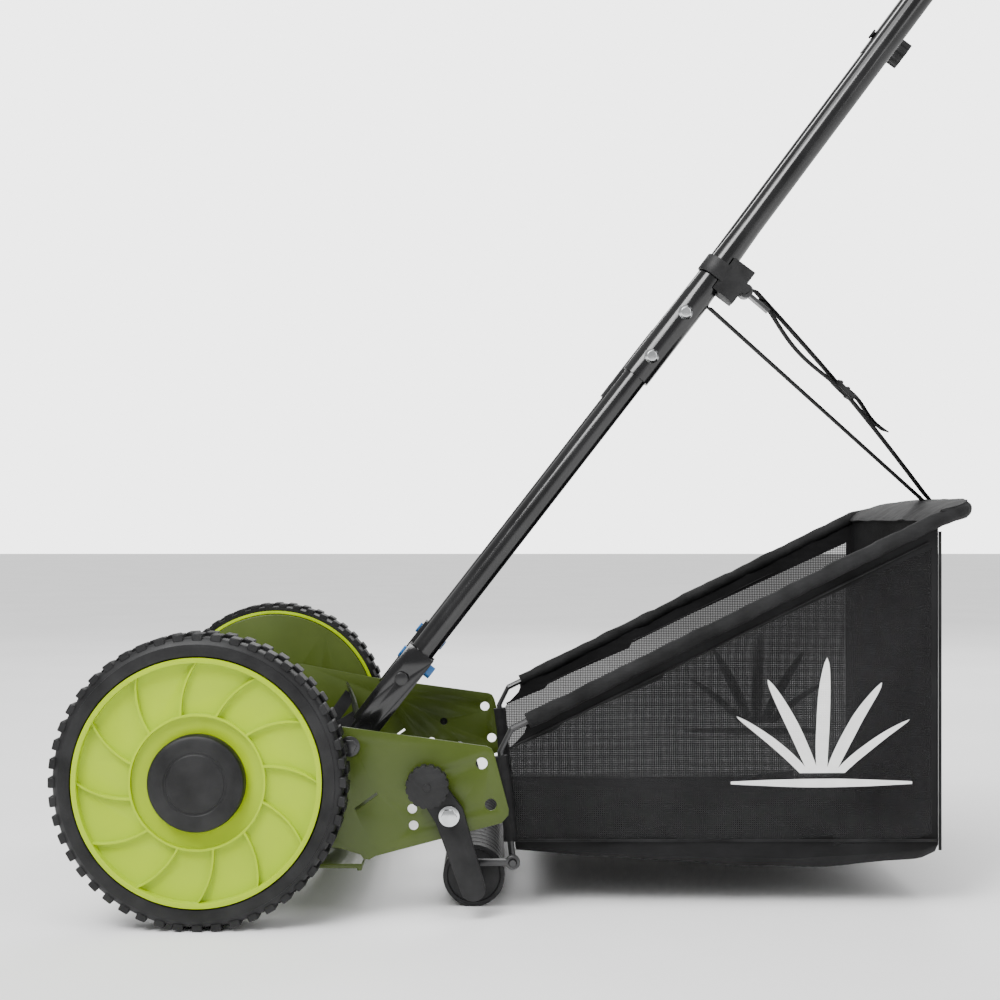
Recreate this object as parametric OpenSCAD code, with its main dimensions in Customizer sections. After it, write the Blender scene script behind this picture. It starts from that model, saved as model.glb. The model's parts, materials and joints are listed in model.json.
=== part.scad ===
// Push reel mower with a grass catcher. X runs to the rear, Z up, origin on the ground under the middle.

/* [Wheels] */
// Tyre outside diameter
wheel_d = 254; // [230:1:300]
// Tyre width
tyre_w = 45; // [36:1:54]
// Width over both tyres
over_wheels = 520; // [480:1:640]
// Wheel rim diameter on the outer face
rim_d = 212.8; // [205:0.2:215]
// Wheel flange diameter on the inner face
flange_d = 237.6; // [234:0.2:242]
// Hub cap diameter
hub_cap_d = 82.8; // [70:0.2:96]
// Number of curved ribs on each wheel
rib_count = 12; // [6:1:18]
// Wheel axle diameter
axle_d = 12; // [10:0.5:14]

/* [Reel and drive] */
// Reel cutting diameter
reel_d = 118; // [100:1:122]
// Number of reel blades
blade_count = 5; // [4:1:7]
// Reel shaft diameter
reel_shaft_d = 12; // [10:0.5:14]
// Gear module
gear_m = 2; // [1.8:0.1:2.1]
// Teeth on each wheel's ring gear
ring_teeth = 78; // [74:1:80]
// Teeth on each pinion
pinion_teeth = 16; // [15:1:18]

/* [Frame] */
// Distance between the middles of the side plates
plate_gap = 422; // [380:1:540]
// Side plate thickness
plate_t = 2.5; // [2:0.1:4]
// Free fixing hole diameter in the side plates
plate_hole_d = 10.3; // [8:0.1:12]
// Cross rod diameter, on which the handle swings
cross_rod_d = 12; // [10:0.5:14]

/* [Height adjuster] */
// Roller diameter
roller_d = 56; // [48:1:60]
// Roller length
roller_len = 336; // [280:1:350]
// Roller axle diameter
roller_axle_d = 8; // [6:0.5:9]
// Thumb knob diameter
thumb_d = 37.6; // [30:0.2:42]
// Arm thickness
arm_t = 8; // [6:0.5:10]

/* [Handle] */
// Lean of the handle from upright
handle_lean = 37.8; // [30:0.2:45]
// Bend of the upper part towards upright
handle_bend = 1.1; // [0:0.1:3]
// Distance between the handle tubes
handle_gap = 316; // [280:1:340]
// Lower tube outside diameter
tube_d = 22; // [20:0.5:24]
// Tube wall
tube_wall = 1.5; // [1:0.1:2]
// Length along the handle from the cross rod to the grip
handle_len = 1101; // [1000:1:1200]
// Foam grip diameter
grip_d = 29; // [26:0.5:34]

/* [Catcher] */
// Catcher frame width
bag_w = 352; // [300:1:380]
// Catcher frame wire diameter
bag_wire_d = 6; // [5:0.5:7]
// Catcher cloth thickness
cloth_t = 2; // [1.5:0.1:3]

/* [Fits] */
// Running clearance on a radius
run_gap = 0.05; // [0.02:0.01:0.1]

/* [Hidden] */
$fn = 64;

wheel_r = wheel_d / 2;
face_z = over_wheels / 2;
inner_z = face_z - tyre_w;
plate_z = plate_gap / 2 - plate_t / 2;
plate_out = plate_z + plate_t;
rim_wall = 4.4;
web_z = face_z - 10;
web_t = 3;
ring_r = gear_m * ring_teeth / 2;
pinion_r = gear_m * pinion_teeth / 2;
ring_out_r = ring_r + 4 * gear_m;
gear_z = inner_z + 8;
gear_w = 12;
gear_c = ring_r - pinion_r;
reel_angle = -14;
reel_at = [gear_c * cos(reel_angle), gear_c * sin(reel_angle)];
bush_r = axle_d / 2 + 3;
bearing_r = 14;
bearing_w = 8;
reel_half = plate_z - 12;

// Places on the side plates, from the wheel axle: [to the rear, up]
handle_at = [125.7, 24.4];
arm_at = [213.2, -35.1];
lock_angles = [124.6, 171.9, 197.4];
lock_r = 33;
roller_r = roller_d / 2;
roller_at = [234, roller_r];
arm_z = plate_out + 0.8;

// Handle: lengths along it, from the cross rod
bracket_top = 100;
lower_from = 52;
lower_to = 505;
socket_from = 417;
socket_to = 510;
taper_to = 590;
middle_to = 930;
upper_from = 898;
cross_bolt = 70;
nut_bolt = 89;
tube_bolts_at = [439.2, 489.3];
knob_at = 922;
socket_r = tube_d / 2 + 2.3;
middle_r = tube_d / 2 - 0.5;
upper_r = middle_r + 1.1;
bend_r = 60;
clip_at = 539;
handle_y = handle_gap / 2;
pivot = [handle_at[0], handle_at[1] + wheel_r];
upper_len = handle_len - socket_to;
grip_x = pivot[0] + socket_to * sin(handle_lean) + upper_len * sin(handle_lean - handle_bend);
axle_x = -(grip_x + grip_d / 2 - wheel_r) / 2;

// Catcher: places in the side view from the wheel axle's X and the ground
hinge_at = [269, 45];
bag_y = bag_w / 2;
rim_front = [256, 156];
rim_rear = [655, 352];
rim_tip = [701, 364];
cloth_low = 35;
hook_y = bag_y + 14;
strap_rim = [690, 371];
link_from = 5.5;
link_to = 28;

function in_plane(a, r) = [r * cos(a), r * sin(a)];

// Outline of an involute gear: teeth, tip and root radii, and how far each flank is thinned
function inv(a) = tan(a) * 180 / PI - a;
function flank(n, r, thin) =
    let (pr = gear_m * n / 2, br = pr * cos(20), a = r > br ? acos(br / r) : 0)
    90 / n + inv(20) - inv(a) - thin / pr * 180 / PI;
function gear_points(n, tip, root, thin, steps) =
    let (br = gear_m * n / 2 * cos(20), low = max(root, br + 0.01))
    [for (i = [0:n - 1], s = [-1, 1], j = [0:steps])
        let (t = s < 0 ? j / steps : 1 - j / steps, r = low + (tip - low) * t)
        in_plane(360 * i / n + s * flank(n, r, thin), j == (s < 0 ? 0 : steps) ? root : r)];

// A round tube swept along points, closed by flat ends
function unit(v) = v / norm(v);
function along(p, i) = unit(p[min(i + 1, len(p) - 1)] - p[max(i - 1, 0)]);
function side_of(d) = unit(cross(d, abs(d[1]) < 0.9 ? [0, 1, 0] : [1, 0, 0]));
function ring_at(p, i, w, h, n) =
    let (d = along(p, i), a = side_of(d), b = cross(d, a))
    [for (k = [0:n - 1]) p[i] + a * w * cos(360 * k / n) + b * h * sin(360 * k / n)];
module swept(p, w, h, n) {
    last = len(p) - 1;
    polyhedron([for (i = [0:last]) each ring_at(p, i, w, h, n)],
        concat([[for (k = [0:n - 1]) k]], [[for (k = [n - 1:-1:0]) last * n + k]],
            [for (i = [0:last - 1], k = [0:n - 1])
                [i * n + k, (i + 1) * n + k, (i + 1) * n + (k + 1) % n, i * n + (k + 1) % n]]));
}

module in_frame() translate([axle_x, 0, 0]) children();
module side(right, z = 0) {
    in_frame() mirror([0, right, 0]) translate([0, 0, wheel_r]) rotate([90, 0, 0])
        translate([0, 0, z]) children();
}
module both(z = 0) {
    side(0, z) children();
    side(1, z) children();
}
module ring(r1, r2, h) {
    difference() {
        cylinder(r = r2, h = h);
        translate([0, 0, -1]) cylinder(r = r1, h = h + 2);
    }
}
module at(p) translate([p[0], p[1], 0]) children();

// ---- Wheels ----
module tyre_body() color("#1b1b1b") rotate_extrude($fn = 128) polygon([
    [rim_d / 2, inner_z + 8], [flange_d / 2, inner_z + 8], [flange_d / 2, inner_z],
    [wheel_r - 4, inner_z], [wheel_r, inner_z + 4], [wheel_r, face_z - 5], [wheel_r - 3, face_z - 1],
    [wheel_r - 8, face_z], [rim_d / 2, face_z]]);
module rib(i) {
    span = rim_d / 2 - rim_wall - 57;
    pts = [for (s = [-1, 1], j = [0:8]) let (t = s < 0 ? j / 8 : 1 - j / 8)
        in_plane(360 / rib_count * i + 14 - 14 * (0.65 * t + 0.35 * t * t) + s * 57 / (57 + span * t),
            57 + (span + 1) * t)];
    translate([0, 0, web_z + web_t - 0.5]) linear_extrude(5.5) polygon(pts);
}
module wheel_body() color("#bcc80e") {
    inner_r = rim_d / 2 - rim_wall;
    rotate_extrude($fn = 128) polygon([
        [bush_r, inner_z + 12], [18, inner_z + 12], [18, web_z], [ring_out_r, web_z],
        [ring_out_r, gear_z - 1], [ring_out_r + 3.5, gear_z - 1], [ring_out_r + 3.5, web_z],
        [inner_r, web_z], [inner_r, inner_z + 5], [flange_d / 2 - 3.5, inner_z + 5],
        [flange_d / 2 - 3.5, inner_z], [flange_d / 2, inner_z], [flange_d / 2, inner_z + 8],
        [rim_d / 2, inner_z + 8], [rim_d / 2, face_z + 1], [inner_r, face_z + 1],
        [inner_r, web_z + web_t], [58.5, web_z + web_t], [58.5, web_z + web_t + 5],
        [56.5, web_z + web_t + 5], [56.5, web_z + web_t], [bush_r, web_z + web_t]]);
    for (i = [0:rib_count - 1]) rib(i);
}
module tyre_left() side(0) tyre_body();
module tyre_right() side(1) tyre_body();
module wheel_left() side(0) wheel_body();
module wheel_right() side(1) wheel_body();
module ring_gear() color("#3a3a3a") difference() {
    cylinder(r = ring_out_r, h = gear_w, $fn = 128);
    translate([0, 0, -1]) linear_extrude(gear_w + 2) rotate(reel_angle)
        polygon(gear_points(ring_teeth, ring_r + 1.25 * gear_m, ring_r - 0.7 * gear_m, -0.12, 2));
}
module ring_gear_left() side(0, gear_z) ring_gear();
module ring_gear_right() side(1, gear_z) ring_gear();
module wheel_bush() color("#8a8f94") ring(axle_d / 2 + run_gap, bush_r, web_z + web_t - inner_z - 12);
module wheel_bush_left() side(0, inner_z + 12) wheel_bush();
module wheel_bush_right() side(1, inner_z + 12) wheel_bush();
module hub_cap() color("#232323") rotate_extrude($fn = 128) {
    r = hub_cap_d / 2;
    polygon([[r - 2.5, 0], [r, 0], [r, 9], [r - 1.2, 11.4], [r - 4, 12.6], [27, 13.4], [26.5, 12.8],
        [25, 12.8], [24.5, 13.6], [0, 14], [0, 10], [r - 5, 10], [r - 2.5, 8]]);
}
module hub_cap_left() side(0, web_z + web_t) hub_cap();
module hub_cap_right() side(1, web_z + web_t) hub_cap();
module pinion() color("#6d7278") difference() {
    linear_extrude(gear_w + 1) rotate(reel_angle)
        polygon(gear_points(pinion_teeth, pinion_r + gear_m * 0.95, pinion_r - 1.25 * gear_m, 0.12, 3));
    translate([0, 0, -1]) cylinder(r = reel_shaft_d / 2 + run_gap, h = gear_w + 3);
}
module pinion_left() side(0, gear_z - 0.5) at(reel_at) pinion();
module pinion_right() side(1, gear_z - 0.5) at(reel_at) pinion();

// ---- Axles and side plates ----
module stub_axles() color("#b9bec3") both(plate_z - 4) {
    cylinder(r = 11, h = 4);
    cylinder(r = axle_d / 2, h = web_z + web_t + 5 - plate_z + 4);
}
module axle_nuts() color("#c5c9cc") both(web_z + web_t + 0.4) ring(axle_d / 2, axle_d / 2 + 4.5, 4);
module plate_outline() polygon([[-30, -22], [-32, 24], [-18, 46], [2, 57], [31, 58], [117, 42], [246, 24.5],
    [250, 22.5], [252.6, 17.4], [265.3, -31], [265, -36], [259, -43], [203, -57.5], [148, -72], [143, -75],
    [138, -74.5], [135, -70.5], [117, -65], [90, -62], [60, -62], [20, -55]]);
module side_plate() color("#3f4a17") difference() {
    linear_extrude(plate_t) plate_outline();
    translate([0, 0, -1]) {
        cylinder(r = axle_d / 2, h = plate_t + 2);
        at(reel_at) cylinder(r = bearing_r, h = plate_t + 2);
        at(handle_at) cylinder(r = 4, h = plate_t + 2);
        at(arm_at) cylinder(r = 4, h = plate_t + 2);
        at([241.5, 9.4]) cylinder(r = plate_hole_d / 2, h = plate_t + 2);
        at([249.5, -26.7]) cylinder(r = plate_hole_d / 2, h = plate_t + 2);
        for (a = lock_angles) at(arm_at + in_plane(a, lock_r)) cylinder(r = 4.2, h = plate_t + 2);
        at([140, -24]) rotate(36) translate([-12, -1.2, 0]) cube([24, 2.4, plate_t + 2]);
    }
}
module side_plate_left() side(0, plate_z) side_plate();
module side_plate_right() side(1, plate_z) side_plate();
module gear_cover() color("#3f4a17") difference() {
    rotate_extrude($fn = 128) {
        r = flange_d / 2 - 4.2;
        polygon([[axle_d / 2, 0], [r, 0], [r, inner_z + 3.5 - plate_out],
            [r - 1.5, inner_z + 3.5 - plate_out],
            [r - 1.5, 1.5], [axle_d / 2, 1.5]]);
    }
    translate([0, 0, -1]) at(reel_at) cylinder(r = bearing_r + 1, h = 8);
}
module gear_cover_left() side(0, plate_out) gear_cover();
module gear_cover_right() side(1, plate_out) gear_cover();
module reel_bearings() color("#aab0b5") both(plate_out - bearing_w + 1) at(reel_at)
    ring(reel_shaft_d / 2 + run_gap, bearing_r, bearing_w);

// ---- Reel ----
module reel_shaft() color("#2c2c2c") in_frame() translate([reel_at[0], 0, wheel_r + reel_at[1]])
    rotate([90, 0, 0]) cylinder(r = reel_shaft_d / 2, h = 2 * (gear_z + gear_w + 1), center = true);
spider_at = [-180, -90, 0, 90, 180];
module spider() difference() {
    union() {
        cylinder(r = 13, h = 3, center = true);
        for (i = [0:blade_count - 1]) rotate(360 / blade_count * i + 9) translate([0, -7, -1.5])
            cube([reel_d / 2 - 7, 14, 3]);
    }
    cylinder(r = reel_shaft_d / 2, h = 5, center = true);
}
module reel_spiders() color("#222222") in_frame() translate([reel_at[0], 0, wheel_r + reel_at[1]])
    rotate([90, 0, 0]) for (z = spider_at) translate([0, 0, z])
        rotate(-z / (2 * reel_half) * blade_twist) spider();
blade_twist = 100;
blade_steps = 16;
function blade_ring(j, a0) =
    let (z = -reel_half + 2 * reel_half * j / blade_steps, a = a0 - z / (2 * reel_half) * blade_twist,
        r1 = reel_d / 2 - 16, r2 = reel_d / 2, w = 1.6)
    [for (c = [[r1, -w], [r2, -w], [r2, w], [r1, w]]) let (q = a + 22 * (c[0] - r1) / 16 - 6)
        [c[0] * cos(q) - c[1] * sin(q), c[0] * sin(q) + c[1] * cos(q), z]];
module blade(a0) polyhedron([for (j = [0:blade_steps]) each blade_ring(j, a0)],
    concat([[0, 1, 2, 3]], [[for (k = [3:-1:0]) 4 * blade_steps + k]],
        [for (j = [0:blade_steps - 1], k = [0:3], t = [0, 1]) let (n = (k + 1) % 4)
            t == 0 ? [4 * j + k, 4 * j + 4 + k, 4 * j + 4 + n] : [4 * j + k, 4 * j + 4 + n, 4 * j + n]]));
module reel_blades() color("#303030") in_frame() translate([reel_at[0], 0, wheel_r + reel_at[1]])
    rotate([90, 0, 0]) for (i = [0:blade_count - 1]) blade(360 / blade_count * i);

// ---- Cross rod and bedknife ----
module cross_rod() color("#8d9296") in_frame() translate([pivot[0], 0, pivot[1]]) rotate([90, 0, 0])
    cylinder(r = cross_rod_d / 2, h = 2 * plate_z, center = true);
module cross_rod_bolts() color("#262626") both(plate_z) at(handle_at) {
    cylinder(r = 4, h = plate_t);
    translate([0, 0, plate_t]) cylinder(r = 9, h = 1);
    translate([0, 0, plate_t + 1]) cylinder(r = 6.5, h = 1.2, $fn = 6);
}
knife_x = reel_at[0] + 12;
knife_z = wheel_r + reel_at[1] - reel_d / 2 - 3.2;
module bedknife_bar() color("#30381a") in_frame() translate([58, -plate_z, knife_z - 8])
    difference() {
        cube([78, 2 * plate_z, 6]);
        translate([4, -1, -1]) cube([70, 2 * plate_z + 2, 3]);
    }
module bedknife() color("#8f9498") in_frame() translate([knife_x - 12, -plate_z + 6, knife_z - 2])
    cube([34, 2 * plate_z - 12, 2.4]);
module bedknife_screws() color("#9ea3a7") for (y = [-150:75:150]) in_frame()
    translate([knife_x + 12, y, knife_z + 0.4]) cylinder(r = 4, h = 1.6);

// ---- Height arms and roller ----
module arm_pivot_bolts() color("#c9ccce") both(plate_z) at(arm_at) {
    cylinder(r = 4, h = arm_z + arm_t + 0.4 - plate_z);
    translate([0, 0, arm_z + arm_t + 0.4 - plate_z]) cylinder(r = 9, h = 1.6);
    translate([0, 0, arm_z + arm_t + 2 - plate_z]) cylinder(r = 7, h = 5, $fn = 6);
}
roller_pos = [roller_at[0], roller_at[1] - wheel_r];
module arm() color("#1e1e1e") difference() {
    union() {
        hull() {
            at(arm_at) cylinder(r = 13.2, h = arm_t, $fn = 32);
            at(roller_pos) cylinder(r = 10.8, h = arm_t, $fn = 32);
        }
        hull() {
            at(arm_at) cylinder(r = 13.2, h = arm_t, $fn = 32);
            at(arm_at + in_plane(lock_angles[0], lock_r)) cylinder(r = 12, h = arm_t, $fn = 32);
        }
    }
    translate([0, 0, -1]) {
        at(arm_at) cylinder(r = 4 + run_gap, h = arm_t + 2);
        at(roller_pos) cylinder(r = roller_axle_d / 2, h = arm_t - 1);
        at(arm_at + in_plane(lock_angles[0], lock_r)) cylinder(r = 3 + run_gap, h = arm_t + 2);
    }
}
module arm_left() side(0, arm_z) arm();
module arm_right() side(1, arm_z) arm();
module along_y(x, z, h, r) in_frame() translate([x, 0, z]) rotate([90, 0, 0])
    cylinder(r = r, h = h, center = true);
module roller_axle() color("#a5aaae")
    along_y(roller_at[0], roller_at[1], 2 * (arm_z + arm_t - 2), roller_axle_d / 2);
groove_pitch = 16;
module roller() color("#222222") in_frame() translate([roller_at[0], 0, roller_at[1]]) rotate([90, 0, 0])
    difference() {
        cylinder(r = roller_r, h = roller_len, center = true);
        cylinder(r = roller_r - 4, h = roller_len + 2, center = true);
        for (z = [-roller_len / 2 + groove_pitch:groove_pitch:roller_len / 2 - groove_pitch + 1])
            translate([0, 0, z - 1]) ring(roller_r - 1.2, roller_r + 2, 2);
    }
module roller_plugs() color("#1a1a1a") in_frame() for (s = [-1, 1])
    translate([roller_at[0], s * (roller_len / 2 - 7), roller_at[1]]) rotate([90, 0, 0])
        difference() {
            cylinder(r = roller_r - 4, h = 12, center = true);
            cylinder(r = roller_axle_d / 2 + run_gap, h = 14, center = true);
        }
module thumb_knob() color("#1c1c1c") at(arm_at + in_plane(lock_angles[0], lock_r)) {
    difference() {
        translate([0, 0, arm_t + 0.5]) cylinder(r = thumb_d / 2, h = 13);
        for (i = [0:15]) rotate(360 / 16 * i) translate([thumb_d / 2 + 0.6, 0, arm_t - 1])
            cylinder(r = 1.8, h = 16);
    }
    cylinder(r = 3, h = arm_t + 16);
}
module thumb_knob_left() side(0, arm_z) thumb_knob();
module thumb_knob_right() side(1, arm_z) thumb_knob();

// ---- Handle ----
module on_handle(y = 0) in_frame() translate([pivot[0], y, pivot[1]]) rotate([0, handle_lean, 0]) children();
module on_upper(y = 0) on_handle(y) translate([0, 0, socket_to]) rotate([0, -handle_bend, 0])
    translate([0, 0, -socket_to]) children();
module y_hole(x, l, r, h) translate([x, 0, l]) rotate([90, 0, 0]) cylinder(r = r, h = h, center = true);
cheek_in = tube_d / 2;
module bracket() color("#1d1d1d") difference() {
    union() {
        translate([-cheek_in - 2.5, -cheek_in - 2.5, 16])
            cube([2 * cheek_in + 5, 2 * cheek_in + 5, bracket_top - 16]);
        translate([-10, -cheek_in - 2.5, 0]) cube([20, 2 * cheek_in + 5, 17]);
        y_hole(0, 0, 10, 2 * cheek_in + 5);
    }
    translate([-cheek_in, -cheek_in, -16]) cube([2 * cheek_in + 8, 2 * cheek_in, bracket_top + 18]);
    y_hole(0, 0, cross_rod_d / 2 + run_gap, 60);
    y_hole(0, cross_bolt, 3, 60);
    translate([0, 0, nut_bolt]) rotate([0, 90, 0]) cylinder(r = 3, h = 60, center = true);
}
module handle_bracket_left() on_handle(-handle_y) bracket();
module handle_bracket_right() on_handle(handle_y) bracket();
module bracket_bolts() color("#222222") for (s = [-1, 1]) on_handle(s * handle_y) {
    y_hole(0, cross_bolt, 3, 2 * cheek_in + 6);
    for (t = [-1, 1]) translate([0, t * (cheek_in + 4.5), cross_bolt]) rotate([90, 0, 0])
        cylinder(r = 6, h = 4, center = true);
}
module bracket_nuts() color("#2f6fb4") for (s = [-1, 1]) on_handle(s * handle_y) translate([0, 0, nut_bolt])
    rotate([0, 90, 0]) {
        translate([0, 0, -cheek_in - 5]) cylinder(r = 6, h = 2.5);
        translate([0, 0, -cheek_in - 2.5]) cylinder(r = 3, h = 2 * cheek_in + 2.5);
        translate([0, 0, cheek_in + 0.2]) cylinder(r = 6, h = 8, $fn = 6);
    }
module lower_tube() color("#141414") difference() {
    translate([0, 0, lower_from]) ring(tube_d / 2 - tube_wall, tube_d / 2, lower_to - lower_from);
    y_hole(0, cross_bolt, 3, 60);
    translate([0, 0, nut_bolt]) rotate([0, 90, 0]) cylinder(r = 3, h = 60, center = true);
    for (l = tube_bolts_at) y_hole(0, l, 3, 60);
}
module lower_tube_left() on_handle(-handle_y) lower_tube();
module lower_tube_right() on_handle(handle_y) lower_tube();
module middle_tube() color("#121212") difference() {
    union() {
        translate([0, 0, socket_from]) cylinder(r = socket_r, h = socket_to - socket_from);
        translate([0, 0, socket_to]) rotate([0, -handle_bend, 0]) {
            translate([0, 0, -2]) cylinder(r1 = socket_r - 0.4, r2 = middle_r, h = taper_to - socket_to + 2);
            translate([0, 0, taper_to - socket_to]) cylinder(r = middle_r, h = middle_to - taper_to);
        }
    }
    translate([0, 0, socket_from - 1]) cylinder(r = tube_d / 2, h = lower_to - socket_from + 2);
    translate([0, 0, socket_to]) rotate([0, -handle_bend, 0]) translate([0, 0, -9])
        cylinder(r = middle_r - tube_wall, h = middle_to);
    for (l = tube_bolts_at) y_hole(0, l, 3, 60);
    translate([0, 0, socket_to]) rotate([0, -handle_bend, 0]) translate([0, 0, knob_at - socket_to])
        rotate([0, 90, 0]) cylinder(r = 3 + run_gap, h = 60, center = true);
}
module middle_tube_left() on_handle(-handle_y) middle_tube();
module middle_tube_right() on_handle(handle_y) middle_tube();
module tube_bolts() color("#c9cdd0") for (s = [-1, 1], l = tube_bolts_at) on_handle(s * handle_y) {
    y_hole(0, l, 3, 2 * socket_r);
    translate([0, s * socket_r, l]) rotate([-90 * s, 0, 0])
        cylinder(r1 = 6.8, r2 = 4.4, h = 3.6);
}
module tube_nuts() color("#c9cdd0") for (s = [-1, 1], l = tube_bolts_at) on_handle(s * handle_y)
    translate([0, -s * socket_r, l]) rotate([90 * s, 0, 0]) cylinder(r = 5.8, h = 5, $fn = 6);
module u_bar(r, below) {
    for (s = [-1, 1]) {
        translate([0, s * handle_y, upper_from - below])
            cylinder(r = r, h = handle_len - bend_r - upper_from + below);
        translate([0, s * (handle_y - bend_r), handle_len - bend_r]) rotate([0, -90, 0])
            rotate([0, 0, s > 0 ? 0 : -90]) rotate_extrude(angle = 90) translate([bend_r, 0]) circle(r = r);
    }
    y_hole(0, handle_len, r, 2 * (handle_y - bend_r));
}
module upper_handle() color("#111111") on_upper() difference() {
    u_bar(upper_r, 0);
    u_bar(middle_r, 1);
    for (s = [-1, 1]) translate([0, s * handle_y, knob_at]) rotate([0, 90, 0])
        cylinder(r = 3 + run_gap, h = 60, center = true);
}
module foam_grip() color("#181818") on_upper() difference() {
    y_hole(0, handle_len, grip_d / 2, 2 * (handle_y - bend_r) - 6);
    y_hole(0, handle_len, upper_r, 2 * handle_y);
}
module handle_knob() color("#1a1a1a") rotate([0, 90, 0]) {
    translate([0, 0, -upper_r - 3]) cylinder(r = 5.5, h = 2.6);
    translate([0, 0, -upper_r - 1]) cylinder(r = 3, h = 2 * upper_r + 4);
    translate([0, 0, upper_r + 0.6]) cylinder(r = 7, h = 6);
    translate([0, 0, upper_r + 6.6]) difference() {
        cylinder(r = 15, h = 12);
        for (i = [0:5]) rotate(60 * i) translate([18.5, 0, -1]) cylinder(r = 6, h = 14);
    }
}
module handle_knob_left() on_upper(-handle_y) translate([0, 0, knob_at]) handle_knob();
module handle_knob_right() on_upper(handle_y) translate([0, 0, knob_at]) handle_knob();

// ---- Strap between the handle and the catcher ----
module on_clip() on_upper(-handle_y) translate([0, 0, clip_at]) children();
module strap_clip() color("#1c1c1c") on_clip() {
    difference() {
        union() {
            translate([0, -12, -17]) cube([29, 24, 34]);
            translate([0, 0, -8]) cylinder(r = socket_r + 2, h = 16);
        }
        translate([0, 0, -30]) cylinder(r = socket_r, h = 60);
        translate([33, 0, 0]) rotate([90, 0, 0]) cylinder(r = 8, h = 16, center = true);
    }
    y_hole(32, 0, 2.5, 24);
    for (t = [-1, 1]) translate([25, t * 10 - 2, -5]) cube([8, 4, 10]);
}
module strap_eye() on_clip() difference() {
    y_hole(32, 0, 6.4, 14);
    y_hole(32, 0, 2.5 + run_gap, 20);
}
// The strap's two ends in the side view, and its run from the clip to the rim
clip_out = pivot + [socket_to * sin(handle_lean) + (clip_at - socket_to) * sin(handle_lean - handle_bend)
    + 32 * cos(handle_lean - handle_bend),
    socket_to * cos(handle_lean) + (clip_at - socket_to) * cos(handle_lean - handle_bend)
    - 32 * sin(handle_lean - handle_bend)];
clip_point = [clip_out[0], -handle_y, clip_out[1]];
rim_point = [strap_rim[0], 0, strap_rim[1] + 9];
strap_dir = unit(rim_point - clip_point);
module strap_loop() color("#151515") {
    strap_eye();
    in_frame() translate(clip_point) rotate([0, atan2(-strap_dir[2], strap_dir[0]), 0])
        translate([link_from, -6, -1.5]) cube([link_to - link_from, 12, 3]);
}
module catcher_strap() color("#141414") in_frame()
    swept([for (i = [0:6]) clip_point + strap_dir * (link_to + 6)
        + (rim_point - clip_point - strap_dir * (link_to + 9)) * i / 6], 5, 7, 8);

// ---- Catcher ----
module hook(y) in_frame() translate([0, y, 0]) rotate([90, 0, 0]) translate([0, 0, -3]) difference() {
    union() {
        translate([roller_at[0], roller_at[1]]) cylinder(r = 8.5, h = 6);
        translate([hinge_at[0], hinge_at[1]]) cylinder(r = 6.5, h = 6);
        translate([roller_at[0] - 3.5, roller_at[1], 0]) cube([7, hinge_at[1] - roller_at[1] + 3, 6]);
        translate([roller_at[0] - 3.5, hinge_at[1] - 3, 0]) cube([hinge_at[0] - roller_at[0] + 3, 6, 6]);
    }
    translate([roller_at[0], roller_at[1], -1]) cylinder(r = roller_axle_d / 2 + run_gap, h = 8);
    translate([hinge_at[0], hinge_at[1], -1]) cylinder(r = bag_wire_d / 2 + run_gap, h = 8);
}
module catcher_hooks() color("#2a2a2a") {
    hook(hook_y);
    hook(-hook_y);
}
// The rim wire: front post, long slope, then a round bow behind
bow_steps = 12;
function bow(i) = let (a = 180 * i / bow_steps, c = cos(a), s = sin(a))
    [rim_rear[0] + (rim_tip[0] - rim_rear[0]) * s, -bag_y * sign(c) * pow(abs(c), 0.7),
        rim_rear[1] + (rim_tip[1] - rim_rear[1]) * s];
function slope(t, y) = [rim_front[0] + (rim_rear[0] - rim_front[0]) * t, y,
    rim_front[1] + (rim_rear[1] - rim_front[1]) * t];
function rim_path() = concat(
    [[hinge_at[0], -bag_y, hinge_at[1]], [258, -bag_y, 142], slope(0.03, -bag_y), slope(0.5, -bag_y)],
    [for (i = [0:bow_steps]) bow(i)],
    [slope(0.5, bag_y), slope(0.03, bag_y), [258, bag_y, 142], [hinge_at[0], bag_y, hinge_at[1]]]);
module catcher_frame() color("#1a1a1a") {
    in_frame() swept(rim_path(), bag_wire_d / 2, bag_wire_d / 2, 8);
    along_y(hinge_at[0], hinge_at[1], 2 * hook_y + 12, bag_wire_d / 2);
}
panel_in = bag_y - 4;
module side_outline() polygon([[272, 50], [400, cloth_low + 5], [528, cloth_low], [640, cloth_low + 7],
    [655, 48], [655, rim_rear[1] - 4], [rim_front[0] + 6, rim_front[1] - 1], [262, 140]]);
module side_panel(s) color("#222222") in_frame() translate([0, s * (panel_in - cloth_t / 2), 0])
    rotate([90, 0, 0]) translate([0, 0, -cloth_t / 2]) linear_extrude(cloth_t) side_outline();
module catcher_side_left() side_panel(-1);
module catcher_side_right() side_panel(1);
module catcher_floor() color("#191919") in_frame() rotate([90, 0, 0])
    linear_extrude(2 * (panel_in - cloth_t), center = true)
        polygon([[274, 49], [400, cloth_low + 5], [528, cloth_low], [640, cloth_low + 7], [653, 47],
            [653 - cloth_t, 47 + cloth_t], [640 - cloth_t, cloth_low + 7 + cloth_t],
            [528, cloth_low + cloth_t], [400, cloth_low + 5 + cloth_t], [274, 49 + cloth_t]]);
module catcher_back() color("#191919") in_frame() translate([653, -panel_in + cloth_t, 48])
    cube([cloth_t, 2 * (panel_in - cloth_t), rim_rear[1] - 54]);
module catcher_visor() color("#161616") in_frame() hull() for (i = [0:2:bow_steps])
    translate(bow(i) + [i == 0 || i == bow_steps ? -6 : -10, -sign(bow(i)[1]) * 4, 4])
        cylinder(r = 5, h = 2.4, $fn = 16);

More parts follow.
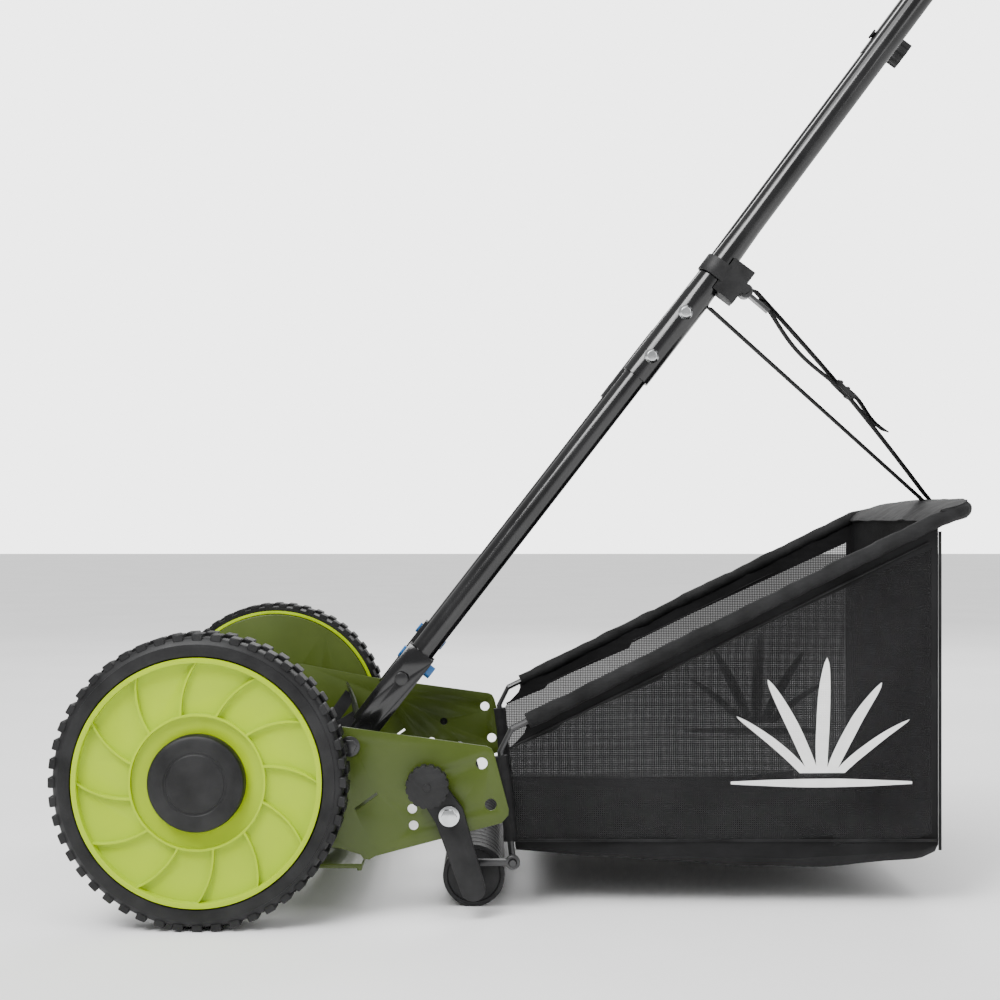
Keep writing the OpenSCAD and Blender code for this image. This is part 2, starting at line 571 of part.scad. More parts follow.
tyre_left();
tyre_right();
wheel_left();
wheel_right();
ring_gear_left();
ring_gear_right();
wheel_bush_left();
wheel_bush_right();
hub_cap_left();
hub_cap_right();
pinion_left();
pinion_right();
stub_axles();
axle_nuts();
side_plate_left();
side_plate_right();
gear_cover_left();
gear_cover_right();
reel_bearings();
reel_shaft();
reel_spiders();
reel_blades();
cross_rod();
cross_rod_bolts();
bedknife_bar();
bedknife();
bedknife_screws();
arm_pivot_bolts();
arm_left();
arm_right();
roller_axle();
roller();
roller_plugs();
thumb_knob_left();
thumb_knob_right();
handle_bracket_left();
handle_bracket_right();
bracket_bolts();
bracket_nuts();
lower_tube_left();
lower_tube_right();
middle_tube_left();
middle_tube_right();
tube_bolts();
tube_nuts();
upper_handle();
foam_grip();
handle_knob_left();
handle_knob_right();
strap_clip();
strap_loop();
catcher_strap();
catcher_hooks();
catcher_frame();
catcher_side_left();
catcher_side_right();
catcher_floor();
catcher_back();
catcher_visor();
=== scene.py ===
import json
import math

import bpy
from mathutils import Matrix, Vector, noise


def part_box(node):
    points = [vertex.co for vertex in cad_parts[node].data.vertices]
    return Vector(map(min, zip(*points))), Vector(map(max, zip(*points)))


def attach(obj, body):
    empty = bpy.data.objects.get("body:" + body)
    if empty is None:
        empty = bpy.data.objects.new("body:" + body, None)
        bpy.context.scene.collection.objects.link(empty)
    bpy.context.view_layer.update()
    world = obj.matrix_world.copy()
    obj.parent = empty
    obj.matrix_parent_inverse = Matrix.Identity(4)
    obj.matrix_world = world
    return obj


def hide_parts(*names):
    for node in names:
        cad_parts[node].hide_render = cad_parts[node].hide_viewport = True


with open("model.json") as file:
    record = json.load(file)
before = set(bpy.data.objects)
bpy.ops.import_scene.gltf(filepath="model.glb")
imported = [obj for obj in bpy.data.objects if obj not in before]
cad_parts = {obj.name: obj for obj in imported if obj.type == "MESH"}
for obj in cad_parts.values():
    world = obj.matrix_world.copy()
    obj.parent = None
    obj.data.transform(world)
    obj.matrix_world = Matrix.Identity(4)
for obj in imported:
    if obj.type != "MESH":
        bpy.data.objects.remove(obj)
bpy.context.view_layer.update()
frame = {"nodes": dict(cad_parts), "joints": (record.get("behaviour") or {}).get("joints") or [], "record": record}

NODES = frame["nodes"]
JOINTS = {j["name"]: Vector(j["pos_m"]) for j in frame["joints"] if "pos_m" in j}
BODY_OF = {n: b for b, names in frame["record"]["behaviour"]["bodies"].items() for n in names}
SLOT_OF = {s["node"]: s["material_slot"] for s in frame["record"]["subparts"]}

AXLE = JOINTS["left_wheel_spin"]
CLIP = JOINTS["strap_swing"]
MM = 0.001                    # the catcher and the strap are worked out in millimetres


# ---- Camera, floor and light ----
SKY_LIGHT = 0.55
SKY_SEEN = 4.0


def set_camera():
    data = bpy.data.cameras.new("camera")
    data.sensor_width = 36
    data.lens = 56
    data.shift_x = 0.005
    data.shift_y = 0.021
    camera = bpy.data.objects.new("camera", data)
    camera.location = (AXLE.x + 0.2532, -1.5776, 0.3493)
    camera.rotation_euler = (math.radians(90), 0, 0)
    bpy.context.scene.collection.objects.link(camera)
    bpy.context.scene.camera = camera


def floor_and_light():
    deselect()
    bpy.ops.mesh.primitive_plane_add(size=30, location=(0, 0, 0))
    floor = bpy.context.object
    floor.name = "floor"
    paint = Finish("floor_paint", (0.93, 0.93, 0.93), 0.7)
    paint.vary(3, 0.02)
    floor.data.materials.append(paint.material)
    world = bpy.data.worlds.new("studio")
    bpy.context.scene.world = world
    world.use_nodes = True
    tree = world.node_tree
    sky = tree.nodes["Background"]
    sky.inputs["Color"].default_value = (1, 1, 1, 1)
    path = tree.nodes.new("ShaderNodeLightPath")
    seen = tree.nodes.new("ShaderNodeMapRange")
    seen.inputs["To Min"].default_value = SKY_LIGHT
    seen.inputs["To Max"].default_value = SKY_SEEN
    tree.links.new(path.outputs["Is Camera Ray"], seen.inputs["Value"])
    tree.links.new(seen.outputs["Result"], sky.inputs["Strength"])
    sun = bpy.data.lights.new("over", "SUN")
    sun.energy = 2.6
    sun.angle = math.radians(50)
    sun_spot = bpy.data.objects.new("over", sun)
    sun_spot.rotation_euler = (math.radians(18), math.radians(-12), 0)
    bpy.context.scene.collection.objects.link(sun_spot)
    for name, place, turn, size, power in (
            ("key", (-1.3, -1.9, 2.3), (42, 0, -34), 1.2, 75),
            ("fill", (1.9, -1.7, 1.5), (60, 0, 48), 1.6, 25),
            ("back", (0.4, 2.2, 2.0), (-52, 0, 0), 1.8, 40)):
        lamp = bpy.data.lights.new(name, "AREA")
        lamp.size = size
        lamp.energy = power
        spot = bpy.data.objects.new(name, lamp)
        spot.location = place
        spot.rotation_euler = [math.radians(a) for a in turn]
        bpy.context.scene.collection.objects.link(spot)


def deselect():
    if bpy.context.object and bpy.context.object.mode != "OBJECT":
        bpy.ops.object.mode_set(mode="OBJECT")
    bpy.ops.object.select_all(action="DESELECT")


# ---- Finishes ----
class Finish:
    """A principled material on object coordinates, built up layer by layer."""

    def __init__(self, name, colour, rough, metal=0.0, coat=0.0, sheen=0.0, specular=0.5):
        self.material = bpy.data.materials.new(name)
        self.material.use_nodes = True
        self.tree = self.material.node_tree
        self.shader = self.tree.nodes["Principled BSDF"]
        self.colour = (*colour, 1)
        self.rough = rough
        self.shader.inputs["Base Color"].default_value = self.colour
        self.shader.inputs["Roughness"].default_value = rough
        self.shader.inputs["Metallic"].default_value = metal
        self.shader.inputs["Coat Weight"].default_value = coat
        self.shader.inputs["Coat Roughness"].default_value = 0.12
        self.shader.inputs["Sheen Weight"].default_value = sheen
        self.shader.inputs["Specular IOR Level"].default_value = specular
        self.coords = self.add("ShaderNodeTexCoord")
        self.height = None

    def add(self, kind, **values):
        node = self.tree.nodes.new(kind)
        for key, value in values.items():
            setattr(node, key, value)
        return node

    def link(self, a, b):
        self.tree.links.new(a, b)

    def noise(self, scale, detail=3.0, stretch=(1, 1, 1)):
        mapping = self.add("ShaderNodeMapping")
        mapping.inputs["Scale"].default_value = stretch
        self.link(self.coords.outputs["Object"], mapping.inputs["Vector"])
        node = self.add("ShaderNodeTexNoise")
        node.inputs["Scale"].default_value = scale
        node.inputs["Detail"].default_value = detail
        self.link(mapping.outputs["Vector"], node.inputs["Vector"])
        return node.outputs["Fac"]

    def math(self, operation, a, b=None):
        node = self.add("ShaderNodeMath", operation=operation)
        for i, value in enumerate((a, b)):
            if value is None:
                continue
            if isinstance(value, (int, float)):
                node.inputs[i].default_value = value
            else:
                self.link(value, node.inputs[i])
        return node.outputs[0]

    def vary(self, scale, amount, stretch=(1, 1, 1)):
        """Uneven colour and gloss, as dust, wear and moulding give."""
        source = self.noise(scale, 4.0, stretch)
        ramp = self.add("ShaderNodeValToRGB")
        low = [max(0, c * (1 - amount) - amount * 0.01) for c in self.colour[:3]]
        high = [min(1, c * (1 + amount) + amount * 0.02) for c in self.colour[:3]]
        ramp.color_ramp.elements[0].position = 0.35
        ramp.color_ramp.elements[0].color = (*low, 1)
        ramp.color_ramp.elements[1].position = 0.65
        ramp.color_ramp.elements[1].color = (*high, 1)
        self.link(source, ramp.inputs["Fac"])
        self.link(ramp.outputs["Color"], self.shader.inputs["Base Color"])
        spread = self.add("ShaderNodeMapRange")
        spread.inputs["To Min"].default_value = max(0.03, self.rough - 0.09)
        spread.inputs["To Max"].default_value = min(1, self.rough + 0.09)
        self.link(self.noise(scale * 2.3, 5.0, stretch), spread.inputs["Value"])
        self.link(spread.outputs["Result"], self.shader.inputs["Roughness"])
        return self

    def grain(self, scale, strength, stretch=(1, 1, 1), distance=0.0004):
        """Fine relief in the surface."""
        return self.relief(self.noise(scale, 2.0, stretch), strength, distance)

    def relief(self, height, strength, distance=0.0004):
        bump = self.add("ShaderNodeBump")
        bump.inputs["Strength"].default_value = strength
        bump.inputs["Distance"].default_value = distance
        self.link(height, bump.inputs["Height"])
        if self.height is not None:
            self.link(self.height, bump.inputs["Normal"])
        self.height = bump.outputs["Normal"]
        self.link(self.height, self.shader.inputs["Normal"])
        return self

    def threads(self, pitch, axes="XZ"):
        """Two crossed thread waves, each from 0 to 1, along two of the object's axes."""
        split = self.add("ShaderNodeSeparateXYZ")
        self.link(self.coords.outputs["Object"], split.inputs["Vector"])
        waves = []
        for axis in axes:
            turn = self.math("MULTIPLY", split.outputs[axis], 2 * math.pi / pitch)
            waves.append(self.math("ADD", self.math("MULTIPLY", self.math("SINE", turn), 0.5), 0.5))
        return waves

    def weave(self, pitch, strength, axes="XZ"):
        a, b = self.threads(pitch, axes)
        return self.relief(self.math("MAXIMUM", a, b), strength)

    def open_mesh(self, pitch, hole, axes="XZ"):
        """Threads with gaps between them that let a share of the light through."""
        a, b = self.threads(pitch, axes)
        thread = self.math("MAXIMUM", a, b)
        solid = self.math("ADD", self.math("MULTIPLY", thread, 1 - hole), hole)
        self.link(solid, self.shader.inputs["Alpha"])
        return self.relief(thread, 0.5)


def make_finishes():
    f = {}
    f["tyre_rubber"] = Finish("tyre_rubber", (0.006, 0.006, 0.0065), 0.5, specular=0.3)
    f["tyre_rubber"].vary(30, 0.3).grain(900, 0.25)
    f["lime_plastic"] = Finish("lime_plastic", (0.33, 0.47, 0.0), 0.32, specular=0.25).vary(9, 0.05)
    f["lime_plastic"].grain(1300, 0.08)
    f["green_paint"] = Finish("green_paint", (0.045, 0.068, 0.004), 0.38, coat=0.15, specular=0.3)
    f["green_paint"].vary(14, 0.1)
    f["green_paint"].grain(500, 0.12)
    f["black_paint"] = Finish("black_paint", (0.003, 0.003, 0.0035), 0.18, coat=0.2).vary(20, 0.2)
    f["black_paint"].grain(160, 0.03)
    f["black_plastic"] = Finish("black_plastic", (0.007, 0.007, 0.0075), 0.48, specular=0.3)
    f["black_plastic"].vary(35, 0.25).grain(1500, 0.35)
    f["steel"] = Finish("steel", (0.42, 0.43, 0.44), 0.34, metal=1.0)
    f["steel"].vary(40, 0.2, (1, 6, 1)).grain(700, 0.15)
    f["dark_steel"] = Finish("dark_steel", (0.02, 0.02, 0.021), 0.32, metal=0.3, coat=0.3)
    f["dark_steel"].vary(30, 0.3)
    f["dark_steel"].grain(600, 0.12)
    f["zinc"] = Finish("zinc", (0.62, 0.63, 0.64), 0.22, metal=1.0).vary(60, 0.12).grain(500, 0.08)
    f["blue_nylon"] = Finish("blue_nylon", (0.02, 0.13, 0.36), 0.35).vary(60, 0.15).grain(900, 0.15)
    f["foam"] = Finish("foam", (0.014, 0.014, 0.014), 0.85, sheen=0.2)
    f["foam"].vary(60, 0.25).grain(1400, 0.8)
    f["webbing"] = Finish("webbing", (0.004, 0.004, 0.0045), 0.75, specular=0.2)
    f["webbing"].vary(80, 0.3).weave(0.0016, 0.8)
    f["mesh_cloth"] = Finish("mesh_cloth", (0.004, 0.004, 0.0045), 0.6, specular=0.2).vary(8, 0.2)
    f["mesh_cloth"].open_mesh(0.0019, 0.6)
    f["solid_cloth"] = Finish("solid_cloth", (0.003, 0.003, 0.0035), 0.72, specular=0.2)
    f["solid_cloth"].vary(12, 0.25)
    f["solid_cloth"].weave(0.0013, 0.5, "YZ").grain(60, 0.25, distance=0.002)
    f["sleeve_cloth"] = Finish("sleeve_cloth", (0.004, 0.004, 0.0045), 0.7, specular=0.25)
    f["sleeve_cloth"].vary(30, 0.3)
    f["sleeve_cloth"].weave(0.0013, 0.5).grain(90, 0.3, distance=0.003)
    f["print"] = Finish("print", (0.78, 0.78, 0.77), 0.55).vary(90, 0.04)
    f["print"].weave(0.0021, 0.4)
    f["blade_edge"] = Finish("blade_edge", (0.55, 0.56, 0.57), 0.3, metal=1.0)
    f["blade_edge"].vary(80, 0.15).grain(700, 0.2)
    return f


# ---- Making and finishing pieces ----
def finish_piece(obj, name, body, finish, nodes=(), smooth=35):
    obj.name = name
    obj.data.name = name
    obj.data.materials.clear()
    obj.data.materials.append(FINISHES[finish].material)
    deselect()
    obj.select_set(True)
    bpy.context.view_layer.objects.active = obj
    bpy.ops.object.transform_apply(location=True, rotation=True, scale=True)
    bpy.ops.object.shade_smooth_by_angle(angle=math.radians(smooth))
    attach(obj, body)
    if nodes:
        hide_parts(*nodes)
    return obj


def apply_modifiers(obj):
    deselect()
    obj.select_set(True)
    bpy.context.view_layer.objects.active = obj
    for modifier in list(obj.modifiers):
        bpy.ops.object.modifier_apply(modifier=modifier.name)


def join(objects):
    deselect()
    for obj in objects:
        obj.select_set(True)
    bpy.context.view_layer.objects.active = objects[0]
    if len(objects) > 1:
        bpy.ops.object.join()
    return bpy.context.view_layer.objects.active


def outward(obj):
    deselect()
    obj.select_set(True)
    bpy.context.view_layer.objects.active = obj
    bpy.ops.object.mode_set(mode="EDIT")
    bpy.ops.mesh.select_all(action="SELECT")
    bpy.ops.mesh.remove_doubles(threshold=0.00002)
    bpy.ops.mesh.normals_make_consistent(inside=False)
    bpy.ops.object.mode_set(mode="OBJECT")


def softened(node, width, finish=None, segments=2):
    """A copy of a CAD node with its sharp edges rounded, which stands for it."""
    obj = NODES[node].copy()
    obj.data = NODES[node].data.copy()
    obj.parent = None
    for key in list(obj.keys()):
        if key.startswith("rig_"):
            del obj[key]
    bpy.context.scene.collection.objects.link(obj)
    deselect()
    obj.select_set(True)
    bpy.context.view_layer.objects.active = obj
    bpy.ops.object.mode_set(mode="EDIT")
    bpy.ops.mesh.select_all(action="SELECT")
    bpy.ops.mesh.remove_doubles(threshold=0.00001)
    bpy.ops.mesh.dissolve_limited(angle_limit=math.radians(1.0))
    bpy.ops.object.mode_set(mode="OBJECT")
    bevel = obj.modifiers.new("edges", "BEVEL")
    bevel.width = width
    bevel.segments = segments
    bevel.limit_method = "ANGLE"
    bevel.angle_limit = math.radians(40)
    apply_modifiers(obj)
    return finish_piece(obj, node + "_shell", BODY_OF[node], finish or SLOT_OF[node], [node])


def tube_along(points, radius, name, body, finish, nodes=(), sides=10):
    """A round tube swept along points."""
    curve = bpy.data.curves.new(name, "CURVE")
    curve.dimensions = "3D"
    curve.bevel_depth = radius
    curve.bevel_resolution = max(1, sides // 2 - 2)
    curve.use_fill_caps = True
    line = curve.splines.new("POLY")
    line.points.add(len(points) - 1)
    for spot, p in zip(line.points, points):
        spot.co = (*p, 1)
    obj = bpy.data.objects.new(name, curve)
    bpy.context.scene.collection.objects.link(obj)
    deselect()
    obj.select_set(True)
    bpy.context.view_layer.objects.active = obj
    bpy.ops.object.convert(target="MESH")
    obj = bpy.context.object
    outward(obj)
    return finish_piece(obj, name, body, finish, nodes, 60)


def smooth_path(points, per=8):
    """A Catmull-Rom line through the points."""
    p = [Vector(q) for q in points]
    p = [p[0] * 2 - p[1]] + p + [p[-1] * 2 - p[-2]]
    line = []
    for i in range(1, len(p) - 2):
        a, b, c, d = p[i - 1:i + 3]
        for k in range(per):
            t = k / per
            line.append(0.5 * (2 * b + (c - a) * t + (2 * a - 5 * b + 4 * c - d) * t * t
                               + (3 * b - a - 3 * c + d) * t ** 3))
    return line + [p[-2]]


# ---- Wheels ----
TREAD_COUNT = 48
TREAD_DEEP = 0.0034
RIM_LIP = 0.1064              # radius at which the tyre leaves the wheel's rim
LUG_ARC = 0.56                # a tread block's share of its step round the tyre
LUG_WIDE = 0.44               # and of the tyre's width
ROW_FROM, ROW_STEP = 0.27, 0.46


def make_tyre(side):
    node = "tyre_" + side
    low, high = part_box(node)
    radius = (high.z - low.z) / 2
    sign = -1 if side == "left" else 1
    face = low.y if sign < 0 else high.y
    width = high.y - low.y
    rim = (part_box("wheel_" + side)[1].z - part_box("wheel_" + side)[0].z) / 2
    lip = RIM_LIP
    base = radius - TREAD_DEEP
    # From the rim lip over the sidewall and the tread base to the inner flange
    profile = [(lip - 0.0002, -0.003), (lip + 0.0015, 0.0004), (lip + 0.006, 0.0012), (lip + 0.011, 0.0006),
               (base - 0.006, -0.0005), (base - 0.0018, -0.003), (base, -0.0065), (base, -width + 0.006),
               (base - 0.001, -width + 0.002), (rim + 0.004, -width + 0.0003), (rim, -width + 0.0015)]
    mesh = bpy.data.meshes.new(node)
    mesh.from_pydata([(r, 0, d) for r, d in profile], [(i, i + 1) for i in range(len(profile) - 1)], [])
    body = bpy.data.objects.new(node, mesh)
    bpy.context.scene.collection.objects.link(body)
    deselect()
    body.select_set(True)
    bpy.context.view_layer.objects.active = body
    bpy.ops.object.mode_set(mode="EDIT")
    bpy.ops.mesh.select_all(action="SELECT")
    bpy.ops.mesh.spin(steps=144, angle=2 * math.pi, center=(0, 0, 0), axis=(0, 0, 1))
    bpy.ops.mesh.remove_doubles(threshold=0.00005)
    bpy.ops.object.mode_set(mode="OBJECT")
    step = 2 * math.pi / TREAD_COUNT
    blocks = [(row, step * (i + 0.5 * row)) for row in (0, 1) for i in range(TREAD_COUNT)]
    lug = make_lug(width, base)
    pieces = [body]
    for row, angle in blocks:
        copy = lug.copy()
        copy.data = lug.data.copy()
        bpy.context.scene.collection.objects.link(copy)
        shift = Matrix.Translation((0, 0, -width * (ROW_FROM + ROW_STEP * row)))
        copy.matrix_world = Matrix.Rotation(angle, 4, "Z") @ shift @ Matrix.Translation((base, 0, 0))
        pieces.append(copy)
    bpy.data.objects.remove(lug)
    tyre = join(pieces)
    turn = Matrix.Rotation(math.radians(-90) * sign, 4, "X")
    tyre.data.transform(Matrix.Translation((AXLE.x, face, AXLE.z)) @ turn)
    outward(tyre)
    finish_piece(tyre, node + "_tread", side + "_wheel", "tyre_rubber", [node], 40)


def make_lug(width, base):
    deselect()
    arc = 2 * math.pi / TREAD_COUNT * base
    bpy.ops.mesh.primitive_cube_add(size=1)
    lug = bpy.context.object
    lug.scale = (TREAD_DEEP * 2 - 0.0004, arc * LUG_ARC, width * LUG_WIDE)
    bpy.ops.object.transform_apply(scale=True)
    bpy.ops.object.mode_set(mode="EDIT")
    bpy.ops.mesh.select_all(action="SELECT")
    bpy.ops.mesh.bevel(offset=0.0008, segments=1)
    bpy.ops.object.mode_set(mode="OBJECT")
    return lug


def make_wheels():
    for side in ("left", "right"):
        make_tyre(side)
        softened("wheel_" + side, 0.0007)
        softened("hub_cap_" + side, 0.0012, segments=3)



# ---- Grass catcher ----
def at(x, y, z):
    """A place given in millimetres back from the wheel axle, to the right and up from the ground."""
    return Vector((AXLE.x + x * MM, y * MM, z * MM))


BAG_HALF = 171                # from the middle to the cloth of a side
RIM_HALF = 176                # from the middle to the rim wire
SLOPE = ((256, 156), (655, 352))   # the rim wire's straight run, from the front post to the rear bow
BOW_DEEP = 46
FRONT_NOTCH = 19              # how far the cloth is cut back from the post, at its top
HEM = 17                      # depth of the hem under the rim wire
SIDE_SEAM = 62                # height of the seam where the floor's cloth turns up the side
BAG_BOTTOM = ((262, 54), (272, 50), (400, 40), (528, 35), (640, 42), (654, 48))


def along(line, x):
    """The height of an outline at x."""
    for (x0, z0), (x1, z1) in zip(line, line[1:]):
        if x <= x1:
            break
    return z0 + (z1 - z0) * max(0, x - x0) / (x1 - x0)


def slope_at(share, y):
    (x0, z0), (x1, z1) = SLOPE
    return at(x0 + (x1 - x0) * share, y, z0 + (z1 - z0) * share)


def bow_at(angle, grow=0.0):
    c, s = math.cos(angle), math.sin(angle)
    y = -math.copysign(abs(c) ** 0.7, c) * (RIM_HALF + grow)
    return at(SLOPE[1][0] + (BOW_DEEP + grow) * s, y, SLOPE[1][1] + 12 * s)


def wrinkle(p, size, deep):
    return noise.noise(p / size) * deep


def cloth_grid(name, columns, rows, place):
    """A sheet of rows by columns, on which place gives each point."""
    mesh = bpy.data.meshes.new(name)
    points = [place(i / columns, j / rows) for i in range(columns + 1) for j in range(rows + 1)]
    faces = []
    for i in range(columns):
        for j in range(rows):
            a = i * (rows + 1) + j
            faces.append((a, a + 1, a + rows + 2, a + rows + 1))
    mesh.from_pydata(points, [], faces)
    obj = bpy.data.objects.new(name, mesh)
    bpy.context.scene.collection.objects.link(obj)
    return obj


BAG_ROWS, BAG_COLUMNS, BAG_STATIONS = 28, 30, 64
BELLY, FLOOR_SAG, BACK_BELLY = 5.0, 6.0, 9
CORNER_LIFT = 9.0             # rounds the floor's long edges


def bag_ring(share):
    """The bag's section at a share of its length: down the left side, over the floor and up the right."""
    points = []
    rows, columns = BAG_ROWS, BAG_COLUMNS
    for j in range(rows * 2 + columns + 1):
        if j <= rows:
            y, up = -1.0, 1 - j / rows
        elif j < rows + columns:
            y, up = 2 * (j - rows) / columns - 1, 0.0
        else:
            y, up = 1.0, (j - rows - columns) / rows
        front = 262 + 10 * (1 - up) + FRONT_NOTCH * max(0.0, min(1.0, (up - 0.84) * 10))
        x = front + (654 - front) * share
        bottom = along(BAG_BOTTOM, x)
        top = along(SLOPE, x) - 2
        z = bottom + (top - bottom) * up
        belly = math.sin(math.pi * up) ** 0.8 * math.sin(math.pi * share) ** 0.6
        out = BELLY * belly * (top - bottom) / 300
        sag = lift = 0
        if up == 0:
            sag = FLOOR_SAG * (1 - y * y) * math.sin(math.pi * share) ** 0.7
            lift = CORNER_LIFT * max(0.0, 1 - (1 - abs(y)) / 0.06)
        p = at(x, y * (BAG_HALF + out), z - sag + lift)
        edge = min(1, share * 8) * min(1, (1 - share) * 8)
        if abs(y) == 1:
            edge *= min(1, (1 - up) * 5)
            fold = wrinkle(Vector((p.x + p.z * 0.8, y, p.z - p.x * 0.35)), 0.05, 3.2)
            p.y += y * edge * (fold + wrinkle(p, 0.013, 0.7)) * MM
        else:
            p.z += edge * wrinkle(p, 0.06, 3.5) * MM
        points.append(p)
    return points


def make_bag():
    """The bag as one lofted shell. Its sides are see-through mesh; the rest of it is closed cloth."""
    stations, rows, columns = BAG_STATIONS, BAG_ROWS, BAG_COLUMNS
    rings = [bag_ring(i / stations) for i in range(stations + 1)]
    count = len(rings[0])
    points = [p for ring in rings for p in ring]
    faces, solid = [], []
    for i in range(stations):
        for j in range(count - 1):
            a = i * count + j
            faces.append((a, a + 1, a + count + 1, a + count))
            middle = (points[a] + points[a + 1] + points[a + count]) / 3
            side = j < rows or j >= rows + columns
            depth = (j + 0.5) / rows if j < rows else (count - 1.5 - j) / rows
            x = (middle.x - AXLE.x) / MM
            tall = along(SLOPE, x) - along(BAG_BOTTOM, x)
            solid.append(not side or middle.z < SIDE_SEAM * MM or depth * tall < HEM or i >= stations - 1)
    # The back panel, between the last ring's two sides
    last = stations * count
    back = {}
    for r in range(rows + 1):
        left, right = last + r, last + count - 1 - r
        for c in range(columns + 1):
            if c == 0:
                back[r, c] = left
            elif c == columns:
                back[r, c] = right
            elif r == rows:
                back[r, c] = last + rows + c
            else:
                p = points[left].lerp(points[right], c / columns)
                y = 2 * c / columns - 1
                low_z = points[last + rows + c].z
                p.z = low_z + (points[last].z - low_z) * (1 - r / rows)
                belly = BACK_BELLY * (1 - y * y) * math.sin(math.pi * r / rows)
                p.x += (belly + wrinkle(p, 0.07, 3) * (1 - y ** 4)) * MM
                back[r, c] = len(points)
                points.append(p)
    for r in range(rows):
        for c in range(columns):
            faces.append((back[r, c], back[r + 1, c], back[r + 1, c + 1], back[r, c + 1]))
            solid.append(True)
    mesh = bpy.data.meshes.new("catcher_bag")
    mesh.from_pydata(points, [], faces)
    bag = bpy.data.objects.new("catcher_bag", mesh)
    bpy.context.scene.collection.objects.link(bag)
    bag = finish_piece(bag, "catcher_bag", "catcher", "mesh_cloth",
                       ["catcher_side_left", "catcher_side_right", "catcher_floor", "catcher_back"], 60)
    bag.data.materials.append(FINISHES["solid_cloth"].material)
    for face, opaque in zip(bag.data.polygons, solid):
        face.material_index = 1 if opaque else 0
    # The flat cut is a cross: the floor, with the sides and the back folded out from it
    wide, long, tall = 0.342, 0.392, 0.304
    return bag


def make_sleeves():
    """The cloth sleeves over the rim wire, wrinkled as the hem gathers on it."""
    rim = [slope_at(t / 60, -RIM_HALF) for t in range(4, 60)]
    rim += [bow_at(math.pi * i / 40) for i in range(41)]
    rim += [slope_at(1 - t / 60, RIM_HALF) for t in range(1, 57)]
    posts = []
    for side in (-1, 1):
        low, high = at(267.5, side * RIM_HALF, 62), at(258.3, side * RIM_HALF, 138)
        posts.append([low.lerp(high, t / 16) for t in range(17)])
    made = []
    for name, line, radius in (("rim_sleeve", rim, 7.0), ("post_sleeve_left", posts[0], 6.2),
                               ("post_sleeve_right", posts[1], 6.2)):
        obj = tube_along(line, radius * MM, name, "catcher", "sleeve_cloth", sides=16)
        for v in obj.data.vertices:
            v.co += v.normal * (wrinkle(v.co, 0.011, 1.1) + wrinkle(v.co, 0.03, 1.2)) * MM
        made.append(obj)
    return made


def visor_point(s, t):
    """From the back panel's top edge at t 0, over the bow's wire at t 1."""
    angle = math.pi * s
    y = -math.copysign(abs(math.cos(angle)) ** 0.7, math.cos(angle)) * (RIM_HALF - 3)
    inner = at(SLOPE[1][0] - 3, y, SLOPE[1][1] - 3)
    p = inner.lerp(bow_at(angle, 3.0), t)
    p.z += (6.5 * t ** 0.5 + 5 * math.sin(math.pi * t) * math.sin(angle)) * MM
    p.z += wrinkle(p, 0.035, 1.6) * MM
    return p


def make_visor():
    visor = cloth_grid("catcher_visor_cloth", 60, 16, visor_point)
    thick = visor.modifiers.new("cloth", "SOLIDIFY")
    thick.thickness = 0.0024
    thick.offset = 0
    round_off = visor.modifiers.new("edge", "BEVEL")
    round_off.width = 0.0009
    round_off.segments = 2
    round_off.limit_method = "ANGLE"
    round_off.angle_limit = math.radians(60)
    apply_modifiers(visor)
    outward(visor)
    finish_piece(visor, "catcher_visor_cloth", "catcher", "sleeve_cloth",
                 ["catcher_visor"], 50)


def make_seams():
    """Taped seams and rows of stitches on the bag's edges."""
    for side, word in ((-1, "left"), (1, "right")):
        y = side * (BAG_HALF + 2.5)
        low = [at(x, y, SIDE_SEAM - 1) for x in range(268, 653, 12)]
        rear = [at(655.5, side * (BAG_HALF + 0.5), z) for z in range(52, 349, 12)]
        hem_drop = Vector((0, 0, HEM * MM))
        hem = [slope_at(t / 40, side * (BAG_HALF + 1.6)) - hem_drop for t in range(1, 40)]
        parts = []
        for line, radius in ((low, 1.3), (rear, 1.5), (hem, 1.0)):
            parts.append(tube_along(line, radius * MM, "seam", "catcher", "sleeve_cloth",
                                    sides=8))
        seams = join(parts)
        finish_piece(seams, "catcher_seams_" + word, "catcher", "sleeve_cloth", (), 60)


# ---- Strap ----
def webbing(line, width, thick, name, across):
    """A flat band swept along a line, as wide as given along the across direction."""
    deselect()
    points, faces = [], []
    half = [(-1, -0.6), (-0.86, -1), (0.86, -1), (1, -0.6), (1, 0.6), (0.86, 1), (-0.86, 1), (-1, 0.6)]
    for i, p in enumerate(line):
        ahead = (line[min(i + 1, len(line) - 1)] - line[max(i - 1, 0)]).normalized()
        up = ahead.cross(across).normalized()
        wide = up.cross(ahead).normalized()
        for a, b in half:
            points.append(p + wide * a * width / 2 + up * b * thick / 2)
    n = len(half)
    for i in range(len(line) - 1):
        for j in range(n):
            k = (j + 1) % n
            faces.append((i * n + j, i * n + k, (i + 1) * n + k, (i + 1) * n + j))
    faces.append(tuple(range(n))[::-1])
    faces.append(tuple(range((len(line) - 1) * n, len(line) * n)))
    mesh = bpy.data.meshes.new(name)
    mesh.from_pydata(points, [], faces)
    obj = bpy.data.objects.new(name, mesh)
    bpy.context.scene.collection.objects.link(obj)
    outward(obj)
    return obj


